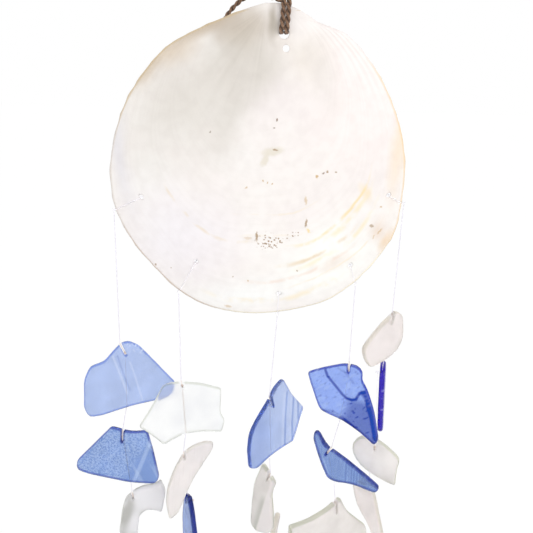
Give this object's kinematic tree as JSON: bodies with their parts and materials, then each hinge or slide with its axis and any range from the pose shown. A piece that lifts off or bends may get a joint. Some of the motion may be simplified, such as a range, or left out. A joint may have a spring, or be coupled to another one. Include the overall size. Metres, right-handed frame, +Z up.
{
  "type": "glass wind chime",
  "caption": "Wind chime: a round, gently domed shell on a knotted cord loop, with strands of tumbled glass pieces on thin line hung from holes along its lower rim.",
  "frame": {"origin": "inside top of the hanging loop, where a hook bears", "axes": "+Z up along the hanging cord, +X to the right of a viewer who faces the domed side of the shell, -Y towards that viewer"},
  "size_m": [0.188, 0.0383, 0.3992],
  "materials": {
    "brown_cord": "two-ply twisted cord, brown, matt",
    "pearl_shell": "mother-of-pearl, satin, pinkish white to beige with growth lines",
    "nylon_line": "clear thin monofilament",
    "glass_cobalt": "tumbled light cobalt blue glass, satin",
    "glass_violet": "tumbled deep violet blue glass, satin",
    "glass_clear": "clear glass with softened edges",
    "glass_frosted": "tumbled frosted white glass, matt"
  },
  "bodies": {
    "loop": {"hang_loop": "brown_cord"},
    "legs": {"loop_leg_left": "brown_cord", "loop_leg_right": "brown_cord"},
    "knot": {"rim_knot": "brown_cord"},
    "shell": {"shell": "pearl_shell", "hole_bight": "brown_cord", "rim_tie_a": "nylon_line", "rim_tie_b": "nylon_line", "rim_tie_c": "nylon_line", "rim_tie_d": "nylon_line", "rim_tie_e": "nylon_line"},
    "line_a1": {"line_a1": "nylon_line"},
    "glass_a1": {"shard_a1": "glass_cobalt", "kerf_tie_a1": "nylon_line"},
    "line_a2": {"line_a2": "nylon_line"},
    "glass_a2": {"shard_a2": "glass_cobalt", "kerf_tie_a2": "nylon_line"},
    "line_a3": {"line_a3": "nylon_line"},
    "glass_a3": {"shard_a3": "glass_frosted", "kerf_tie_a3": "nylon_line"},
    "line_b1": {"line_b1": "nylon_line"},
    "glass_b1": {"shard_b1": "glass_clear", "kerf_tie_b1": "nylon_line"},
    "line_b2": {"line_b2": "nylon_line"},
    "glass_b2": {"shard_b2": "glass_frosted", "kerf_tie_b2": "nylon_line"},
    "line_b3": {"line_b3": "nylon_line"},
    "glass_b3": {"shard_b3": "glass_violet", "kerf_tie_b3": "nylon_line"},
    "line_c1": {"line_c1": "nylon_line"},
    "glass_c1": {"shard_c1": "glass_cobalt", "kerf_tie_c1": "nylon_line"},
    "line_c2": {"line_c2": "nylon_line"},
    "glass_c2": {"shard_c2": "glass_frosted", "kerf_tie_c2": "nylon_line"},
    "line_c3": {"line_c3": "nylon_line"},
    "glass_c3": {"shard_c3": "glass_frosted", "kerf_tie_c3": "nylon_line"},
    "line_d1": {"line_d1": "nylon_line"},
    "glass_d1": {"shard_d1": "glass_cobalt", "kerf_tie_d1": "nylon_line"},
    "line_d2": {"line_d2": "nylon_line"},
    "glass_d2": {"shard_d2": "glass_cobalt", "kerf_tie_d2": "nylon_line"},
    "line_d3": {"line_d3": "nylon_line"},
    "glass_d3": {"shard_d3": "glass_frosted", "kerf_tie_d3": "nylon_line"},
    "line_e1": {"line_e1": "nylon_line"},
    "glass_e1": {"shard_e1": "glass_frosted", "kerf_tie_e1": "nylon_line"},
    "line_e2": {"line_e2": "nylon_line"},
    "glass_e2": {"shard_e2": "glass_violet", "kerf_tie_e2": "nylon_line"},
    "line_e3": {"line_e3": "nylon_line"},
    "glass_e3": {"shard_e3": "glass_frosted", "kerf_tie_e3": "nylon_line"},
    "line_e4": {"line_e4": "nylon_line"},
    "glass_e4": {"shard_e4": "glass_frosted", "kerf_tie_e4": "nylon_line"}
  },
  "joints": [
    {"name": "chime_swing", "type": "hinge", "parent": "loop", "child": "legs", "pos_m": [0, -0.0014, -0.02735], "axis": [1, 0, 0], "range_deg": [-20, 20]},
    {"name": "chime_turn", "type": "hinge", "parent": "legs", "child": "knot", "pos_m": [0, -0.0014, -0.04645], "axis": [0, 0, 1], "range_deg": [-180, 180]},
    {"name": "shell_nod", "type": "hinge", "parent": "knot", "child": "shell", "pos_m": [0, -0.0014, -0.0557], "axis": [1, 0, 0], "range_deg": [-6, 6]},
    {"name": "swing_a1", "type": "hinge", "parent": "shell", "child": "line_a1", "pos_m": [-0.07925, 0.00168, -0.14924], "axis": [1, 0, 0], "range_deg": [-2, 15]},
    {"name": "turn_a1", "type": "hinge", "parent": "line_a1", "child": "glass_a1", "pos_m": [-0.08162, 0.00126, -0.22366], "axis": [0, 0, 1], "range_deg": [-10, 90]},
    {"name": "swing_a2", "type": "hinge", "parent": "glass_a1", "child": "line_a2", "pos_m": [-0.08065, 0.0011, -0.26297], "axis": [1, 0, 0], "range_deg": [-10, 10]},
    {"name": "turn_a2", "type": "hinge", "parent": "line_a2", "child": "glass_a2", "pos_m": [-0.08414, 0.00171, -0.27961], "axis": [0, 0, 1], "range_deg": [-90, 90]},
    {"name": "swing_a3", "type": "hinge", "parent": "glass_a2", "child": "line_a3", "pos_m": [-0.08168, 0.00068, -0.31507], "axis": [1, 0, 0], "range_deg": [-10, 10]},
    {"name": "turn_a3", "type": "hinge", "parent": "line_a3", "child": "glass_a3", "pos_m": [-0.08154, 0.0006, -0.32429], "axis": [0, 0, 1], "range_deg": [-120, 120]},
    {"name": "swing_b1", "type": "hinge", "parent": "shell", "child": "line_b1", "pos_m": [-0.04871, -0.00087, -0.19162], "axis": [1, 0, 0], "range_deg": [-15, 3]},
    {"name": "turn_b1", "type": "hinge", "parent": "line_b1", "child": "glass_b1", "pos_m": [-0.04929, -0.00071, -0.24502], "axis": [0, 0, 1], "range_deg": [-12, 75]},
    {"name": "swing_b2", "type": "hinge", "parent": "glass_b1", "child": "line_b2", "pos_m": [-0.04784, -0.00068, -0.27855], "axis": [1, 0, 0], "range_deg": [-10, 10]},
    {"name": "turn_b2", "type": "hinge", "parent": "line_b2", "child": "glass_b2", "pos_m": [-0.04964, -0.00025, -0.29297], "axis": [0, 0, 1], "range_deg": [-40, 90]},
    {"name": "swing_b3", "type": "hinge", "parent": "glass_b2", "child": "line_b3", "pos_m": [-0.04871, -0.00034, -0.32008], "axis": [1, 0, 0], "range_deg": [-5, 10]},
    {"name": "turn_b3", "type": "hinge", "parent": "line_b3", "child": "glass_b3", "pos_m": [-0.04801, -0.00034, -0.32478], "axis": [0, 0, 1], "range_deg": [-5, 110]},
    {"name": "swing_c1", "type": "hinge", "parent": "shell", "child": "line_c1", "pos_m": [0.00223, -0.00191, -0.20245], "axis": [1, 0, 0], "range_deg": [-15, 15]},
    {"name": "turn_c1", "type": "hinge", "parent": "line_c1", "child": "glass_c1", "pos_m": [-0.00093, -0.00281, -0.25282], "axis": [0, 0, 1], "range_deg": [-120, 100]},
    {"name": "swing_c2", "type": "hinge", "parent": "glass_c1", "child": "line_c2", "pos_m": [-0.00041, -0.00295, -0.29019], "axis": [1, 0, 0], "range_deg": [-10, 10]},
    {"name": "turn_c2", "type": "hinge", "parent": "line_c2", "child": "glass_c2", "pos_m": [0.00065, -0.0034, -0.30471], "axis": [0, 0, 1], "range_deg": [-120, 120]},
    {"name": "swing_c3", "type": "hinge", "parent": "glass_c2", "child": "line_c3", "pos_m": [0.00036, -0.00359, -0.34876], "axis": [1, 0, 0], "range_deg": [-10, 10]},
    {"name": "turn_c3", "type": "hinge", "parent": "line_c3", "child": "glass_c3", "pos_m": [0.00076, -0.00359, -0.36126], "axis": [0, 0, 1], "range_deg": [-120, 50]},
    {"name": "swing_d1", "type": "hinge", "parent": "shell", "child": "line_d1", "pos_m": [0.04165, -0.00022, -0.1853], "axis": [1, 0, 0], "range_deg": [-15, 2]},
    {"name": "turn_d1", "type": "hinge", "parent": "line_d1", "child": "glass_d1", "pos_m": [0.04161, 0.00017, -0.23147], "axis": [0, 0, 1], "range_deg": [-30, 3]},
    {"name": "swing_d2", "type": "hinge", "parent": "glass_d1", "child": "line_d2", "pos_m": [0.0395, 0.00173, -0.2687], "axis": [1, 0, 0], "range_deg": [-10, 10]},
    {"name": "turn_d2", "type": "hinge", "parent": "line_d2", "child": "glass_d2", "pos_m": [0.03557, 0.00031, -0.28823], "axis": [0, 0, 1], "range_deg": [-20, 20]},
    {"name": "swing_d3", "type": "hinge", "parent": "glass_d2", "child": "line_d3", "pos_m": [0.03814, -0.00011, -0.30952], "axis": [1, 0, 0], "range_deg": [-10, 10]},
    {"name": "turn_d3", "type": "hinge", "parent": "line_d3", "child": "glass_d3", "pos_m": [0.03966, -0.00045, -0.32744], "axis": [0, 0, 1], "range_deg": [-20, 90]},
    {"name": "swing_e1", "type": "hinge", "parent": "shell", "child": "line_e1", "pos_m": [0.06234, 0.00184, -0.14318], "axis": [1, 0, 0], "range_deg": [-1, 15]},
    {"name": "turn_e1", "type": "hinge", "parent": "line_e1", "child": "glass_e1", "pos_m": [0.06282, 0.00333, -0.2036], "axis": [0, 0, 1], "range_deg": [-90, 90]},
    {"name": "swing_e2", "type": "hinge", "parent": "glass_e1", "child": "line_e2", "pos_m": [0.06059, 0.00129, -0.2286], "axis": [1, 0, 0], "range_deg": [-5, 10]},
    {"name": "turn_e2", "type": "hinge", "parent": "line_e2", "child": "glass_e2", "pos_m": [0.06021, 0.00133, -0.235], "axis": [0, 0, 1], "range_deg": [-25, 85]},
    {"name": "swing_e3", "type": "hinge", "parent": "glass_e2", "child": "line_e3", "pos_m": [0.06039, 0.00129, -0.27925], "axis": [1, 0, 0], "range_deg": [-10, 10]},
    {"name": "turn_e3", "type": "hinge", "parent": "line_e3", "child": "glass_e3", "pos_m": [0.06066, 0.00229, -0.28374], "axis": [0, 0, 1], "range_deg": [-90, 90]},
    {"name": "swing_e4", "type": "hinge", "parent": "glass_e3", "child": "line_e4", "pos_m": [0.05913, 0.00163, -0.30616], "axis": [1, 0, 0], "range_deg": [-10, 10]},
    {"name": "turn_e4", "type": "hinge", "parent": "line_e4", "child": "glass_e4", "pos_m": [0.05913, 0.00163, -0.31436], "axis": [0, 0, 1], "range_deg": [-90, 75]}
  ]
}
